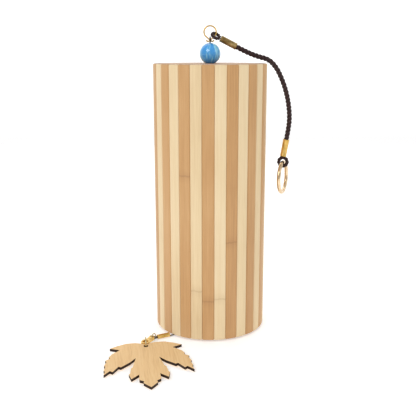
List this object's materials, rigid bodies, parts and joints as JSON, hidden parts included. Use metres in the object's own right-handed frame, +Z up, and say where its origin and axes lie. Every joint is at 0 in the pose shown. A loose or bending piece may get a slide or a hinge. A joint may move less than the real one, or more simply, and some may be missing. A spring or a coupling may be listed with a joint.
{
  "type": "wind chime",
  "caption": "Small hanging wind chime: a tube of light and dark bamboo staves with rods and a striker inside, a hanging lanyard, and a maple leaf sail.",
  "frame": {"origin": "on the floor under the middle of the tube, as it stands on its rim with the sail string led out under the rim", "axes": "+Z up along the tube, +X toward the hanging lanyard, -Y toward the side where the leaf lies"},
  "size_m": [0.1037, 0.1218, 0.177],
  "materials": {
    "dark_bamboo": "satin",
    "pale_bamboo": "satin",
    "disc_wood": "satin",
    "leaf_wood": "matte",
    "striker_wood": "satin",
    "rod_metal": "polished",
    "plate_metal": "satin",
    "screw_steel": "satin",
    "glass": "gloss",
    "bright_brass": "polished",
    "ring_wire": "polished",
    "brown_cord": "matte"
  },
  "bodies": {
    "tube": {"stave_01": "dark_bamboo", "stave_02": "pale_bamboo", "stave_03": "dark_bamboo", "stave_04": "pale_bamboo", "stave_05": "dark_bamboo", "stave_06": "pale_bamboo", "stave_07": "dark_bamboo", "stave_08": "pale_bamboo", "stave_09": "dark_bamboo", "stave_10": "pale_bamboo", "stave_11": "dark_bamboo", "stave_12": "pale_bamboo", "stave_13": "dark_bamboo", "stave_14": "pale_bamboo", "stave_15": "dark_bamboo", "stave_16": "pale_bamboo", "stave_17": "dark_bamboo", "stave_18": "pale_bamboo", "stave_19": "dark_bamboo", "stave_20": "pale_bamboo", "stave_21": "dark_bamboo", "stave_22": "pale_bamboo", "stave_23": "dark_bamboo", "stave_24": "pale_bamboo", "stave_25": "dark_bamboo", "stave_26": "pale_bamboo", "stave_27": "dark_bamboo", "stave_28": "pale_bamboo", "stave_29": "dark_bamboo", "stave_30": "pale_bamboo", "top_disc": "disc_wood", "base_board": "disc_wood", "tone_plate": "plate_metal", "tone_rod_1": "rod_metal", "tone_rod_2": "rod_metal", "tone_rod_3": "rod_metal", "tone_rod_4": "rod_metal", "tone_rod_5": "rod_metal", "tone_rod_6": "rod_metal", "tone_rod_7": "rod_metal", "tone_rod_8": "rod_metal", "plate_screws": "screw_steel"},
    "bead": {"bead": "glass"},
    "hanger": {"wire_hanger": "bright_brass", "hanger_string": "brown_cord"},
    "lanyard": {"lanyard_eyes": "brown_cord", "lanyard_ferrules": "bright_brass", "lanyard_cord": "brown_cord"},
    "hang_ring": {"hang_ring": "bright_brass"},
    "sail_line": {"sail_string": "brown_cord", "sail_ferrule": "bright_brass", "sail_eye": "brown_cord"},
    "striker": {"striker": "striker_wood", "striker_string": "brown_cord"},
    "clasp": {"clasp_ring": "ring_wire", "clasp_body": "bright_brass"},
    "clasp_lever": {"clasp_lever": "bright_brass"},
    "leaf": {"leaf_ring": "ring_wire", "leaf": "leaf_wood"}
  },
  "joints": [
    {"name": "bead_turn", "type": "hinge", "parent": "tube", "child": "bead", "pos_m": [0, 0, 0.16137], "axis": [0, 0, 1], "continuous": true},
    {"name": "hanger_turn", "type": "hinge", "parent": "tube", "child": "hanger", "pos_m": [0, 0, 0.16862], "axis": [0, 0, 1], "continuous": true},
    {"name": "lanyard_swing", "type": "hinge", "parent": "hanger", "child": "lanyard", "pos_m": [0, 0, 0.17317], "axis": [0, -1, 0], "range_deg": [0, 100]},
    {"name": "hang_ring_swing", "type": "hinge", "parent": "lanyard", "child": "hang_ring", "pos_m": [0.04286, 0, 0.09904], "axis": [0.3518, 0.9361, 0], "range_deg": [-30, 20]},
    {"name": "sail_orbit", "type": "hinge", "parent": "tube", "child": "sail_line", "pos_m": [0, 0, 0.04245], "axis": [0, 0, 1], "continuous": true},
    {"name": "striker_swing", "type": "hinge", "parent": "sail_line", "child": "striker", "pos_m": [0, 0, 0.14623], "axis": [0, 1, 0], "range_deg": [-2.6, 2.6]},
    {"name": "clasp_lift", "type": "hinge", "parent": "sail_line", "child": "clasp", "pos_m": [-0.03261, -0.03062, 0.0022], "axis": [-0.8422, 0.5391, 0], "range_deg": [0, 30]},
    {"name": "clasp_lever_open", "type": "hinge", "parent": "clasp", "child": "clasp_lever", "pos_m": [-0.03729, -0.03694, 0.0021], "axis": [0, 0, 1], "range_deg": [0, 15], "stiffness_Nm_per_rad": 0.0002},
    {"name": "leaf_lift", "type": "hinge", "parent": "clasp", "child": "leaf", "pos_m": [-0.03614, -0.04163, 0.00335], "axis": [-0.989, -0.1478, 0], "range_deg": [0, 45]}
  ]
}
